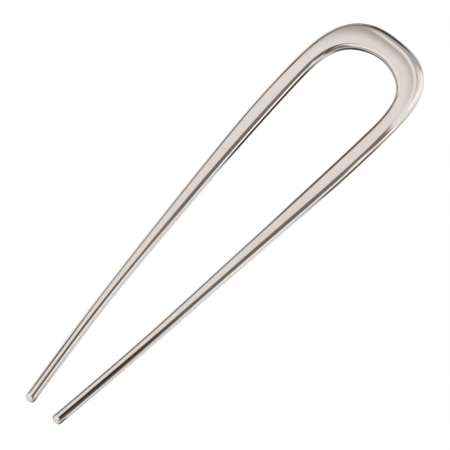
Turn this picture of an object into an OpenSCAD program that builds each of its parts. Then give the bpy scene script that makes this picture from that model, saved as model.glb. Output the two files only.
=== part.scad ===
// A one-piece metal hairpin: a flat bar bent into a U. Round the crown it is wide, and its
// faces curve over to a thin outer edge. Its two tines narrow to round, domed tips.
// It lies on its back, face up, with its arch upwards:
// X runs across the tines, Y runs from the tips to the crown and Z is up.
// The origin is on the surface it lies on, under the middle of the pin.

/* [Pin] */
// Overall length, from the crown to the tips
pin_len = 108; // [90:1:130]
// Distance between the tines' middle lines, where they are widest apart
pin_span = 21.7; // [18:0.1:26]
// Height of the arch that the pin makes between its crown and its tips
bow_h = 1.8; // [0:0.1:3]

/* [Bar] */
// Thickness of the bar, which is also the diameter of the tips
bar_t = 2.2; // [1.8:0.1:2.6]
// Width of the face at the crown's shoulders
crown_w = 6; // [5:0.1:7]
// Width of the curve from the crown's face over to its outer edge
crown_roll = 4.2; // [2:0.1:4.6]
// Width of the curve from the crown's face over to its inner edge
crown_inner_roll = 0.75; // [0.5:0.05:1.1]
// Length of the dome at the end of each tine
tip_dome = 0.7; // [0.5:0.1:1.2]

/* [Fineness] */
// Rings in each step of the guide table round the crown
crown_rings = 8; // [6:1:10]
// Rings in each step of the guide table down a tine
tine_rings = 6; // [4:1:8]
// Sides of each rounded edge of the bar
edge_sides = 12; // [8:2:14]
// Rings in each domed tip
dome_rings = 4; // [3:1:6]

/* [Hidden] */

metal_colour = [0.85, 0.82, 0.8];

// The half of the pin from the crown's middle to one tip. The bar's middle line
// runs smoothly past these guide points, as a wire bends round pegs.
// SIDE: distance from the pin's middle line, as a share of half the span
// DOWN: distance below the crown, as a share of the guide's length
// FACE: width of the face, from 0 at a round tip to 1 at the crown's shoulders
// ROLL: how far the edges have changed from plain round edges to the crown's
SIDE = 0;
DOWN = 1;
FACE = 2;
ROLL = 3;
GUIDE = [
    [0.00, 0.028, 0.83, 1.0],
    [0.45, 0.034, 1.11, 1.0],
    [0.76, 0.058, 0.92, 0.9],
    [0.93, 0.091, 0.61, 0.6],
    [1.00, 0.135, 0.43, 0.2],
    [1.00, 0.187, 0.43, 0.0],
    [0.96, 0.294, 0.45, 0.0],
    [0.87, 0.425, 0.31, 0.0],
    [0.73, 0.598, 0.18, 0.0],
    [0.61, 0.752, 0.04, 0.0],
    [0.44, 0.906, 0.01, 0.0],
    [0.325, 1.00, 0.00, 0.0]
];
LAST = len(GUIDE) - 1;
CROWN_STEPS = 5;

// Narrowest flat left between the two rounded edges
face_min = 0.1;
half_t = bar_t / 2;

// The guide table with a mirrored row before it, so that the two halves meet
// smoothly, and a row after it that carries the tine straight out to its tip
mirrored_row = [-GUIDE[1][SIDE], GUIDE[1][DOWN], GUIDE[1][FACE], GUIDE[1][ROLL]];
ROWS = concat([mirrored_row], GUIDE, [2 * GUIDE[LAST] - GUIDE[LAST - 1]]);

// Shares of four neighbouring rows at a point part of the way between two of them,
// and the rate at which those shares change: a uniform cubic B-spline
function shares(u) = [pow(1 - u, 3), 3 * pow(u, 3) - 6 * u * u + 4,
    -3 * pow(u, 3) + 3 * u * u + 3 * u + 1, pow(u, 3)] / 6;
function share_rates(u) = [-pow(1 - u, 2), 3 * u * u - 4 * u,
    -3 * u * u + 2 * u + 1, u * u] / 2;
function mixed_row(s, k) = s[0] * ROWS[k] + s[1] * ROWS[k + 1] + s[2] * ROWS[k + 2] + s[3] * ROWS[k + 3];

// A step counts from 0 at the crown's middle to LAST at a tip, and is negative on the left
function row_index(step) = min(floor(abs(step)), LAST - 1);
function row_at(step) = let (k = row_index(step)) mixed_row(shares(abs(step) - k), k);
function rate_at(step) = let (k = row_index(step)) mixed_row(share_rates(abs(step) - k), k);
function side_sign(step) = step < 0 ? -1 : 1;

// Width of the bar's face, and how far its two edges roll over
function face_w(row) = bar_t + row[FACE] * (crown_w - bar_t);
function plain_roll(row) = min(half_t, (face_w(row) - face_min) / 2);
function inner_roll(row) = plain_roll(row) + row[ROLL] * (crown_inner_roll - half_t);
function outer_roll(row) = min(plain_roll(row) + row[ROLL] * (crown_roll - half_t),
    face_w(row) - face_min - inner_roll(row));

// The guide's length, which makes the pin as long as pin_len from crown to tips.
// Y is 0 halfway between the crown's outer edge and the tips.
crown_half_w = face_w(row_at(0)) / 2;
guide_len = (pin_len - tip_dome - crown_half_w) / (1 - row_at(0)[DOWN]);
half_len = pin_len / 2;
guide_top = guide_len + tip_dome - half_len;

// The bar's middle line seen from above, and its direction of travel from
// the left tip over the crown to the right tip
function middle(step) = let (row = row_at(step))
    [side_sign(step) * row[SIDE] * pin_span / 2, guide_top - row[DOWN] * guide_len];
function travel(step) = let (rate = rate_at(step),
    v = [rate[SIDE] * pin_span / 2, -side_sign(step) * rate[DOWN] * guide_len]) v / norm(v);

// Height of the arch above the line that joins the crown and the tips
function arch(y) = bow_h * (1 - pow(y / half_len, 2));

// Outline of the bar's section: [distance towards the pin's outside, height].
// The outer edge is half an ellipse as wide as its roll, and so is the inner one.
function half_ellipse(centre, radius, start) = [for (i = [0:edge_sides])
    let (a = start + 180 * i / edge_sides) [centre + radius * cos(a), half_t * sin(a)]];
function section(row) = let (w = face_w(row), outer = outer_roll(row), inner = inner_roll(row))
    concat(half_ellipse(w / 2 - outer, outer, -90), half_ellipse(inner - w / 2, inner, 90));

// One ring of the bar's skin, drawn in by shrink and carried ahead along the travel
function ring(step, shrink, ahead) = let (c = middle(step), d = travel(step), out = [-d[1], d[0]])
    [for (s = section(row_at(step))) let (p = c + d * ahead + out * s[0] * shrink)
        [p[0], p[1], s[1] * shrink + arch(p[1])]];

// The steps at which rings lie, closer together round the crown
half_steps = concat([for (i = [1:CROWN_STEPS * crown_rings]) i / crown_rings],
    [for (i = [1:(LAST - CROWN_STEPS) * tine_rings]) CROWN_STEPS + i / tine_rings]);
steps = concat([for (i = [len(half_steps) - 1:-1:0]) -half_steps[i]], [0], half_steps);

// Rings of the dome at a tip: way is -1 at the left tip and 1 at the right one
function dome_ring(way, i) = let (a = 90 * i / dome_rings)
    ring(way * LAST, cos(a), way * tip_dome * sin(a));
function tip_point(way) = let (p = middle(way * LAST) + travel(way * LAST) * way * tip_dome)
    [p[0], p[1], arch(p[1])];

rings = concat([for (i = [dome_rings - 1:-1:1]) dome_ring(-1, i)],
    [for (s = steps) ring(s, 1, 0)], [for (i = [1:dome_rings - 1]) dome_ring(1, i)]);
sides = len(rings[0]);
last_ring = len(rings) - 1;
raised_points = concat([for (r = rings) each r], [tip_point(-1), tip_point(1)]);

// The pin is let down until its lowest points meet the surface it lies on
lowest = min([for (p = raised_points) p[2]]);
skin_points = [for (p = raised_points) [p[0], p[1], p[2] - lowest]];
left_tip = len(skin_points) - 2;
right_tip = len(skin_points) - 1;

// Two triangles for each patch between two rings, and a fan at each tip
function corner(r, i) = r * sides + i % sides;
skin_faces = concat(
    [for (r = [0:last_ring - 1], i = [0:sides - 1]) each [
        [corner(r, i), corner(r, i + 1), corner(r + 1, i + 1)],
        [corner(r, i), corner(r + 1, i + 1), corner(r + 1, i)]
    ]],
    [for (i = [0:sides - 1]) [left_tip, corner(0, i + 1), corner(0, i)]],
    [for (i = [0:sides - 1]) [right_tip, corner(last_ring, i), corner(last_ring, i + 1)]]
);

module hairpin() {
    color(metal_colour)
        polyhedron(points = skin_points, faces = skin_faces, convexity = 4);
}

hairpin();
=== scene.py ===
import math

import bpy
import numpy as np
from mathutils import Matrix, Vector


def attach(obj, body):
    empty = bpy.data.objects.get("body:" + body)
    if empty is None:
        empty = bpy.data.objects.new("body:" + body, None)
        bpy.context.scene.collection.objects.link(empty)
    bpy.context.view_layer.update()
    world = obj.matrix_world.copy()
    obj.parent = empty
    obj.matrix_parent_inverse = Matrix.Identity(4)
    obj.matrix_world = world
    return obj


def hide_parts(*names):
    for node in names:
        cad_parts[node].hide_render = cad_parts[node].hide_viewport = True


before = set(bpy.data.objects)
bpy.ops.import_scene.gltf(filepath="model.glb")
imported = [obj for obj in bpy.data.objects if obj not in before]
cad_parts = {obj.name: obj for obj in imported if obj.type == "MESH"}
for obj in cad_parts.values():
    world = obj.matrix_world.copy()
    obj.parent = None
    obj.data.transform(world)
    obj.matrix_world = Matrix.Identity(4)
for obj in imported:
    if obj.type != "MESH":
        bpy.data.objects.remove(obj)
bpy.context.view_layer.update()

# The pin: one bar of metal, cast and ground to a U, wide and flat round the crown, with
# two tines that narrow to round, domed tips, then plated and polished to a mirror.
# It lies on its back with its arch upwards, and rests on both tips and on the crown.
mm = 0.001
pin_len = 108 * mm
pin_span = 21.7 * mm
bow_h = 1.8 * mm
bar_t = 2.2 * mm
crown_w = 6 * mm
crown_roll = 4.2 * mm
crown_inner_roll = 0.75 * mm
tip_dome = 0.7 * mm
face_min = 0.1 * mm
half_t = bar_t / 2
rings_per_step = 32
sides_per_edge = 40
sides_per_face = 6
rings_per_dome = 14

# Half of the pin, from the crown's middle to a tip: distance from the pin's middle line as
# a share of half the span, distance below the crown as a share of the guide's length,
# width of the face, and how far the edges have changed from round edges to the crown's
guide = np.array([
    [0.00, 0.028, 0.83, 1.0],
    [0.45, 0.034, 1.11, 1.0],
    [0.76, 0.058, 0.92, 0.9],
    [0.93, 0.091, 0.61, 0.6],
    [1.00, 0.135, 0.43, 0.2],
    [1.00, 0.187, 0.43, 0.0],
    [0.96, 0.294, 0.45, 0.0],
    [0.87, 0.425, 0.31, 0.0],
    [0.73, 0.598, 0.18, 0.0],
    [0.61, 0.752, 0.04, 0.0],
    [0.44, 0.906, 0.01, 0.0],
    [0.325, 1.00, 0.00, 0.0],
])
last_step = len(guide) - 1
guide_rows = np.vstack([guide[1] * (-1, 1, 1, 1), guide, 2 * guide[-1] - guide[-2]])


def guide_at(step, rate=False):
    """Rows of the guide at steps counted from the crown's middle, or their rates of change.
    A uniform cubic B-spline: four neighbouring rows, mixed in shares that are cubics of
    the way u from one row to the next. The left half mirrors the right one."""
    k = np.minimum(np.floor(np.abs(step)).astype(int), last_step - 1)
    u = np.abs(step) - k
    if rate:
        cubics = (-(1 - u) ** 2, 3 * u**2 - 4 * u, -3 * u**2 + 2 * u + 1, u**2)
        shares = np.stack(cubics, -1) / 2
    else:
        cubics = ((1 - u) ** 3, 3 * u**3 - 6 * u**2 + 4, -3 * u**3 + 3 * u**2 + 3 * u + 1, u**3)
        shares = np.stack(cubics, -1) / 6
    return np.einsum("sj,sjc->sc", shares, guide_rows[k[:, None] + np.arange(4)])


def face_width(rows):
    """Width of the face: the bar's thickness at a round tip, up to the crown's width."""
    return bar_t + rows[:, 2] * (crown_w - bar_t)


crown_row = guide_at(np.zeros(1))
guide_len = (pin_len - tip_dome - face_width(crown_row)[0] / 2) / (1 - crown_row[0, 1])
guide_top = guide_len + tip_dome - pin_len / 2


def arch(y):
    """Height of the arch over the line from crown to tips: a parabola of y."""
    return bow_h * (1 - (2 * y / pin_len) ** 2)


def bar_rings(step, shrink, ahead):
    """Rings of the bar's skin, one row of points each. A ring is an outline of two half
    ellipses, outer and inner, joined by straight faces, set square to the direction of
    travel. Each is drawn in by shrink, carried ahead and lifted by the arch."""
    rows = guide_at(step)
    rates = guide_at(step, rate=True)
    side = np.where(step < 0, -1, 1)
    middle = np.stack([side * rows[:, 0] * pin_span / 2, guide_top - rows[:, 1] * guide_len], 1)
    travel = np.stack([rates[:, 0] * pin_span / 2, -side * rates[:, 1] * guide_len], 1)
    travel /= np.linalg.norm(travel, axis=1, keepdims=True)
    outward = np.stack([-travel[:, 1], travel[:, 0]], 1)
    width = face_width(rows)[:, None]
    plain = np.minimum(half_t, (width - face_min) / 2)
    inner = plain + rows[:, 3:] * (crown_inner_roll - half_t)
    outer = plain + rows[:, 3:] * (crown_roll - half_t)
    outer = np.minimum(outer, width - face_min - inner)
    turn = np.linspace(0, np.pi, sides_per_edge + 1)
    along = np.linspace(0, 1, sides_per_face + 1)[1:-1]
    outer_edge = width / 2 - outer + outer * np.sin(turn)
    inner_edge = inner - width / 2 - inner * np.sin(turn)
    face = outer_edge[:, -1:] + (inner_edge[:, :1] - outer_edge[:, -1:]) * along
    out = np.hstack([outer_edge, face, inner_edge, face[:, ::-1]])
    edge_up = -half_t * np.cos(turn)
    face_up = np.full(len(along), half_t)
    up = np.hstack([edge_up, face_up, -edge_up, -face_up])
    centre = (middle + travel * ahead[:, None])[:, None]
    drawn_in = (out * shrink[:, None])[..., None]
    place = centre + outward[:, None] * drawn_in
    lift = up * shrink[:, None] + arch(place[..., 1])
    return np.dstack([place, lift])


def pin_skin():
    """Points and faces of the whole pin: rings from the left tip over the crown to the
    right tip, closed at each tip by a dome, which is a quarter ellipse turned about the
    tine's middle line, and its pole."""
    turn = np.linspace(0, np.pi / 2, rings_per_dome + 1)[1:-1]
    reach = tip_dome * np.sin(turn)
    end = np.full(len(turn), float(last_step))
    step = np.linspace(-last_step, last_step, 2 * last_step * rings_per_step + 1)
    ones = np.ones(len(step))
    left = bar_rings(-end, np.cos(turn), -reach)[::-1]
    right = bar_rings(end, np.cos(turn), reach)
    rings = np.vstack([left, bar_rings(step, ones, 0 * ones), right])
    ends = np.array([-last_step, last_step], float)
    poles = bar_rings(ends, np.zeros(2), np.array([-tip_dome, tip_dome]))[:, 0]
    count, sides = rings.shape[:2]
    points = np.vstack([rings.reshape(-1, 3), poles])
    points[:, 2] -= points[:, 2].min()
    ring, corner = np.meshgrid(np.arange(count - 1), np.arange(sides), indexing="ij")
    here = ring * sides + corner
    beside = ring * sides + (corner + 1) % sides
    quads = np.stack([here, beside, beside + sides, here + sides], -1).reshape(-1, 4)
    corner = np.arange(sides)
    beside = (corner + 1) % sides
    foot = (count - 1) * sides
    left_pole = np.full(sides, count * sides)
    left_fan = np.stack([left_pole, beside, corner], 1)
    right_fan = np.stack([left_pole + 1, foot + corner, foot + beside], 1)
    return points, quads, np.vstack([left_fan, right_fan])


def mesh_object(name, points, quads, triangles):
    """A smooth-shaded mesh object from its points and its four- and three-cornered faces,
    whose corners are laid end to end, with each face's first corner counted up before it."""
    mesh = bpy.data.meshes.new(name)
    corners = np.concatenate([quads.ravel(), triangles.ravel()]).astype(np.int32)
    sizes = np.concatenate([np.full(len(quads), 4), np.full(len(triangles), 3)])
    starts = np.concatenate([[0], np.cumsum(sizes)[:-1]]).astype(np.int32)
    mesh.vertices.add(len(points))
    mesh.vertices.foreach_set("co", points.astype(np.float32).ravel())
    mesh.loops.add(len(corners))
    mesh.loops.foreach_set("vertex_index", corners)
    mesh.polygons.add(len(sizes))
    mesh.polygons.foreach_set("loop_start", starts)
    mesh.update(calc_edges=True)
    mesh.polygons.foreach_set("use_smooth", np.ones(len(sizes), bool))
    mesh.validate()
    thing = bpy.data.objects.new(name, mesh)
    bpy.context.scene.collection.objects.link(thing)
    return thing


def polished_metal():
    """Mirror-polished plating, slightly warm. Its colour drifts a little from place to place.
    Patches of haze and fine rubs along the pin make it a little less sharp, and the waves
    that the buffing wheel left tilt the mirrored picture very slightly."""
    material = bpy.data.materials.new("polished_metal")
    material.use_nodes = True
    nodes = material.node_tree.nodes
    links = material.node_tree.links
    place = nodes.new("ShaderNodeTexCoord").outputs["Object"]

    def cloud(scale, detail, stretch=(1, 1, 1)):
        """Soft noise over the pin, from 0 to 1, finer along an axis whose stretch is larger."""
        mapping = nodes.new("ShaderNodeMapping")
        mapping.inputs["Scale"].default_value = stretch
        links.new(place, mapping.inputs["Vector"])
        noise = nodes.new("ShaderNodeTexNoise")
        noise.inputs["Scale"].default_value = scale
        noise.inputs["Detail"].default_value = detail
        links.new(mapping.outputs[0], noise.inputs["Vector"])
        return noise.outputs[0]

    def spread(value, start, end, low, high):
        """The value where it runs from start to end, set out evenly from low to high."""
        spreading = nodes.new("ShaderNodeMapRange")
        spreading.inputs["From Min"].default_value = start
        spreading.inputs["From Max"].default_value = end
        spreading.inputs["To Min"].default_value = low
        spreading.inputs["To Max"].default_value = high
        links.new(value, spreading.inputs["Value"])
        return spreading.outputs[0]

    shader = nodes["Principled BSDF"]
    shader.inputs["Metallic"].default_value = 1
    tint = nodes.new("ShaderNodeMix")
    tint.data_type = "RGBA"
    tint.inputs["A"].default_value = (0.885, 0.852, 0.828, 1)
    tint.inputs["B"].default_value = (0.915, 0.888, 0.872, 1)
    links.new(spread(cloud(160, 3), 0.35, 0.65, 0, 1), tint.inputs["Factor"])
    links.new(tint.outputs["Result"], shader.inputs["Base Color"])
    haze = spread(cloud(220, 4), 0.4, 0.7, 0.03, 0.07)
    rubs = spread(cloud(900, 2, (3, 0.12, 3)), 0.6, 0.75, 0, 0.05)
    rough = nodes.new("ShaderNodeMath")
    rough.operation = "ADD"
    links.new(haze, rough.inputs[0])
    links.new(rubs, rough.inputs[1])
    links.new(rough.outputs[0], shader.inputs["Roughness"])
    waves = nodes.new("ShaderNodeBump")
    waves.inputs["Strength"].default_value = 0.2
    waves.inputs["Distance"].default_value = 0.02 * mm
    links.new(cloud(420, 1, (1, 0.5, 1)), waves.inputs["Height"])
    links.new(waves.outputs[0], shader.inputs["Normal"])
    return material


hairpin = mesh_object("polished_hairpin", *pin_skin())
hairpin.data.materials.append(polished_metal())
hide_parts("hairpin")
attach(hairpin, "root")

# The floor: a sheet of white paper on which the pin lies. The camera sees it evenly white,
# and the polished metal mirrors a glow painted on it, with painted shadows of the pin on it.
floor_half = 3.0
bpy.ops.mesh.primitive_plane_add(size=2 * floor_half)
floor = bpy.context.object
floor.name = "floor"


def paper_with_painted_shade():
    """White paper, evenly white for the camera. It glows as no lamp, and what the metal mirrors
    of
    it is painted light and shade: pale, a painted greyer shade beyond the right tine, dark
    patches of painted shadow of the pin, each laid on by smooth steps along X and Y, and all of
    it darker close to the pin as painted contact shade."""
    material = bpy.data.materials.new("paper_with_painted_shade")
    material.use_nodes = True
    nodes = material.node_tree.nodes
    links = material.node_tree.links
    nodes.clear()
    place = nodes.new("ShaderNodeTexCoord")
    parts = nodes.new("ShaderNodeSeparateXYZ")
    links.new(place.outputs["Object"], parts.inputs[0])

    def smooth_step(value, start, end):
        """0 up to start, 1 from end on, and an even S curve between them."""
        step = nodes.new("ShaderNodeMapRange")
        step.interpolation_type = "SMOOTHSTEP"
        step.inputs["From Min"].default_value = start
        step.inputs["From Max"].default_value = end
        links.new(value, step.inputs["Value"])
        return step.outputs[0]

    def within(limits):
        """Product of smooth steps, each along one axis, from where it is 0 to where it is 1."""
        mask = None
        for axis, start, end in limits:
            step = smooth_step(parts.outputs[axis], start * mm, end * mm)
            if mask is None:
                mask = step
            else:
                both = nodes.new("ShaderNodeMath")
                both.operation = "MULTIPLY"
                links.new(mask, both.inputs[0])
                links.new(step, both.inputs[1])
                mask = both.outputs[0]
        return mask

    def mixed(factor, first, second):
        """The first colour, changed towards the second by the factor."""
        mix = nodes.new("ShaderNodeMix")
        mix.data_type = "RGBA"
        for name, value in (("Factor", factor), ("A", first), ("B", second)):
            if isinstance(value, tuple):
                mix.inputs[name].default_value = value
            else:
                links.new(value, mix.inputs[name])
        return mix.outputs["Result"]

    pale = (0.76, 0.75, 0.735, 1)
    painted_greyer_shade = (0.5, 0.49, 0.48, 1)
    # Painted greyer shade on the paper beyond the right tine, as the metal mirrors it.
    painted_light_and_shade = mixed(within([("X", 9, 13), ("Y", 8, 18)]), pale, painted_greyer_shade)
    # Patches of painted shadow of the pin, dark in what the metal mirrors.
    painted_shadows = [
        # steps from 0 to 1 along the axes, in millimetres, and the brightness of the painted
        # shadow patch
        ([("X", -13, -9), ("X", 8, 3), ("Y", 8, 16), ("Y", 42, 37)], 0.04),
        ([("X", -1, 1), ("X", 8, 6), ("Y", 31, 33), ("Y", 44, 42)], 0.1),
        ([("X", -12, -10), ("X", 0, -4), ("Y", 42, 44), ("Y", 52, 50)], 0.07),
        ([("X", -4, 0), ("X", 12, 9), ("Y", 42, 44), ("Y", 52, 50)], 0.45),
        ([("X", -30, -20), ("X", 2, -4), ("Y", 51, 53), ("Y", 90, 80)], 0.05),
        ([("X", 11, 13), ("X", 30, 20), ("Y", 16, 20), ("Y", 37, 32)], 0.12),
        ([("X", 4, 5), ("X", 10, 8), ("Y", -56, -54), ("Y", -51, -52.4)], 0.12),
        ([("X", -3, -2), ("X", 3, 1), ("Y", -56, -54), ("Y", -51, -52.4)], 0.12),
    ]
    # Each patch darkens the glow as a painted shadow.
    for limits, shadow_tone in painted_shadows:
        painted_light_and_shade = mixed(within(limits), painted_light_and_shade, (shadow_tone, 0.95 * shadow_tone, 0.9 * shadow_tone, 1))
    # Painted contact shade: the mirrored paper darkens where the pin closes it in.
    painted_contact_shade = nodes.new("ShaderNodeAmbientOcclusion")
    painted_contact_shade.inputs["Distance"].default_value = 3 * mm
    painted_light_and_shade = mixed(smooth_step(painted_contact_shade.outputs["AO"], 0.55, 0.85), (0.06, 0.055, 0.05, 1), painted_light_and_shade)
    # Painted light: by the crown's outer edge the paper is lifted back to pale.
    painted_light_and_shade = mixed(within([("X", 2, 7), ("Y", 46, 51)]), painted_light_and_shade, pale)
    # The paper glows as no lamp: white for the camera, and the painted light and shade for the
    # metal's mirrored rays.
    seen = nodes.new("ShaderNodeLightPath")
    paper = nodes.new("ShaderNodeEmission")
    links.new(mixed(seen.outputs["Is Camera Ray"], painted_light_and_shade, (1, 1, 1, 1)), paper.inputs["Color"])
    out = nodes.new("ShaderNodeOutputMaterial")
    links.new(paper.outputs[0], out.inputs["Surface"])
    return material


floor.data.materials.append(paper_with_painted_shade())

# The studio: soft boxes and dark flags on all sides of the pin, each a band of directions
# that runs along it, with soft edges. A later one stands in front of those before it.
panel_angles = ("Turn", "Lean", "Wide", "Side Edge", "From", "To", "End Edge")
panels = [
    # name, turn from overhead to the right about Y, lean of the whole band about Z, half its
    # width and that edge's softness, its two ends' rise towards +Y and their softness, all in
    # degrees, and colour
    ("overhead", -30, 0, 37, 4, -90, 90, 5, (0.82, 0.775, 0.745)),
    ("front_light", 0, 0, 78, 6, -90, 8, 5, (0.86, 0.82, 0.78)),
    ("overhead_left", -68, 0, 28, 20, 14, 90, 6, (0.64, 0.605, 0.59)),
    ("front_left", -62, 0, 32, 8, -60, 4, 6, (0.95, 0.91, 0.87)),
    ("overhead_far", 10, 0, 60, 5, 27, 90, 3, (0.83, 0.795, 0.765)),
    ("overhead_right", 84, 0, 50, 16, 28, 90, 3, (0.95, 0.93, 0.91)),
    ("far_shade", -60, 0, 70, 30, 34, 90, 10, (0.43, 0.405, 0.375)),
    ("far_grey", -78, -22, 48, 8, 42, 90, 3, (0.42, 0.415, 0.405)),
    ("far_light", 25, -22, 55, 9, 44, 90, 4, (0.84, 0.83, 0.815)),
    ("lamp_line", 5, -22, 55, 13, 32, 38.5, 1.5, (0.84, 0.805, 0.77)),
    ("far_lamp", 35, 0, 11, 6, 34.5, 72, 2, (1.06, 1.05, 1.03)),
    ("far_right_lamp", 65, 0, 26, 8, 43, 75, 4, (0.98, 0.965, 0.945)),
    ("far_dark", 90, 90, 23, 6, 12, 90, 5, (0.035, 0.03, 0.025)),
    ("left_mid", -90, 0, 18, 8, -60, 8, 5, (0.62, 0.595, 0.57)),
    ("left_front", -90, 0, 20, 8, -60, -12, 5, (0.8, 0.77, 0.74)),
    ("left_low", -87, 0, 25, 5, 5, 16, 4, (0.25, 0.23, 0.21)),
    ("left_line", -62, 0, 13, 5, 7.4, 10.3, 1, (0.05, 0.04, 0.035)),
    ("left_dark", -90, 0, 24, 3, 15, 22, 3, (0.01, 0.01, 0.01)),
    ("left_dark_far", -87, 0, 29, 3, 21.5, 26, 2, (0.01, 0.01, 0.01)),
    ("left_far", -90, 0, 26, 6, 25, 60, 4, (0.16, 0.15, 0.14)),
    ("far_left_lamp", -112, 0, 30, 6, 32, 60, 5, (0.75, 0.74, 0.725)),
    ("right_flag_low", 64, 39, 44, 6, -75, -22, 5, (0.2, 0.185, 0.17)),
    ("right_flag_near", 33, 0, 34, 7, 5, 18, 3, (0.18, 0.16, 0.135)),
    ("right_flag_mid", 26, 0, 38, 7, 17, 23.8, 1.6, (0.18, 0.16, 0.14)),
    ("right_flag", 34, 0, 29, 7, 21, 25.3, 2, (0.18, 0.16, 0.14)),
    ("right_flag_far", 22, 0, 26, 7, 22, 26.8, 2, (0.18, 0.16, 0.14)),
    ("tip_line", 11, 0, 8, 4, 14.7, 16.5, 0.9, (0.04, 0.035, 0.03)),
    ("right_black", 28, 0, 33, 6, 2.5, 10, 1.6, (0.05, 0.04, 0.03)),
    ("low_lamp", 65, 0, 20, 5, 19.1, 21.4, 1.1, (0.95, 0.93, 0.9)),
    ("right_strip", 87, 0, 22, 4, 8.5, 25, 3, (1.0, 0.97, 0.93)),
    ("right_strip_far", 81, 0, 15, 4, 23.5, 26.5, 1.5, (1.3, 1.28, 1.25)),
]


def soft_panel():
    """Mask of one panel: 1 where the direction, carried back by the panel's lean and turn, is
    within its half width about Z and between its two ends, with smooth steps at the edges."""
    tree = bpy.data.node_groups.new("soft_panel", "ShaderNodeTree")
    tree.interface.new_socket("Direction", in_out="INPUT", socket_type="NodeSocketVector")
    for socket in panel_angles:
        tree.interface.new_socket(socket, in_out="INPUT", socket_type="NodeSocketFloat")
    tree.interface.new_socket("Mask", in_out="OUTPUT", socket_type="NodeSocketFloat")
    nodes = tree.nodes
    links = tree.links
    given = nodes.new("NodeGroupInput")
    result = nodes.new("NodeGroupOutput")

    def worked_out(kind, first, second=None):
        """One step of arithmetic on one or two values."""
        node = nodes.new("ShaderNodeMath")
        node.operation = kind
        links.new(first, node.inputs[0])
        if second is not None:
            links.new(second, node.inputs[1])
        return node.outputs[0]

    def edge(value, place, softness, outer, inner):
        """Smooth step at a place, from its outer side to its inner one, softness each way."""
        node = nodes.new("ShaderNodeMapRange")
        node.interpolation_type = "SMOOTHSTEP"
        links.new(value, node.inputs["Value"])
        links.new(worked_out(outer, place, softness), node.inputs["From Min"])
        links.new(worked_out(inner, place, softness), node.inputs["From Max"])
        return node.outputs[0]

    def turned_back(vector, angle, kind):
        """The direction, turned back by an angle about one axis."""
        node = nodes.new("ShaderNodeVectorRotate")
        node.rotation_type = kind
        node.invert = True
        links.new(vector, node.inputs["Vector"])
        links.new(angle, node.inputs["Angle"])
        return node.outputs[0]

    upright = turned_back(given.outputs["Direction"], given.outputs["Lean"], "Z_AXIS")
    parts = nodes.new("ShaderNodeSeparateXYZ")
    links.new(turned_back(upright, given.outputs["Turn"], "Y_AXIS"), parts.inputs[0])
    around = worked_out("ABSOLUTE", worked_out("ARCTAN2", parts.outputs["X"], parts.outputs["Z"]))
    along = worked_out("ARCSINE", parts.outputs["Y"])
    end_edge = given.outputs["End Edge"]
    side = edge(around, given.outputs["Wide"], given.outputs["Side Edge"], "ADD", "SUBTRACT")
    low = edge(along, given.outputs["From"], end_edge, "SUBTRACT", "ADD")
    high = edge(along, given.outputs["To"], end_edge, "ADD", "SUBTRACT")
    both_ends = worked_out("MULTIPLY", low, high)
    links.new(worked_out("MULTIPLY", side, both_ends), result.inputs["Mask"])
    return tree


panel_mask = soft_panel()
world = bpy.data.worlds.new("studio")
bpy.context.scene.world = world
world.use_nodes = True
nodes = world.node_tree.nodes
links = world.node_tree.links
direction = nodes.new("ShaderNodeTexCoord").outputs["Generated"]
room = nodes.new("ShaderNodeRGB")
room.outputs[0].default_value = (0.03, 0.027, 0.024, 1)
shade = room.outputs[0]
for name, *angles, colour in panels:
    panel = nodes.new("ShaderNodeGroup")
    panel.node_tree = panel_mask
    panel.label = name
    links.new(direction, panel.inputs["Direction"])
    for socket, degrees in zip(panel_angles, angles):
        panel.inputs[socket].default_value = math.radians(degrees)
    mix = nodes.new("ShaderNodeMix")
    mix.data_type = "RGBA"
    links.new(panel.outputs["Mask"], mix.inputs["Factor"])
    links.new(shade, mix.inputs["A"])
    mix.inputs["B"].default_value = (*colour, 1)
    shade = mix.outputs["Result"]
seen = nodes.new("ShaderNodeLightPath")
backdrop = nodes.new("ShaderNodeMix")
backdrop.data_type = "RGBA"
links.new(seen.outputs["Is Camera Ray"], backdrop.inputs["Factor"])
links.new(shade, backdrop.inputs["A"])
backdrop.inputs["B"].default_value = (1, 1, 1, 1)
links.new(backdrop.outputs["Result"], nodes["Background"].inputs["Color"])

# The camera: a long lens, far off, above the front right of the pin, aimed close to the
# middle of it. The picture keeps its pale paper as it is, with no film look laid over it.
camera_azimuth = math.radians(-48.89)
camera_elevation = math.radians(64.71)
camera_distance = 1.626
toward = Vector((math.cos(camera_azimuth) * math.cos(camera_elevation),
                 math.sin(camera_azimuth) * math.cos(camera_elevation),
                 math.sin(camera_elevation)))
aim = Vector((0.000523, 0.000245, 0.000908))
camera_data = bpy.data.cameras.new("camera")
camera_data.sensor_width = 36
camera_data.lens = 654.8
camera_data.clip_start = 0.1
camera_data.clip_end = 20
camera = bpy.data.objects.new("camera", camera_data)
bpy.context.scene.collection.objects.link(camera)
camera.location = aim + toward * camera_distance
camera.rotation_euler = toward.to_track_quat("Z", "Y").to_euler()
bpy.context.scene.camera = camera
bpy.context.scene.view_settings.view_transform = "Standard"
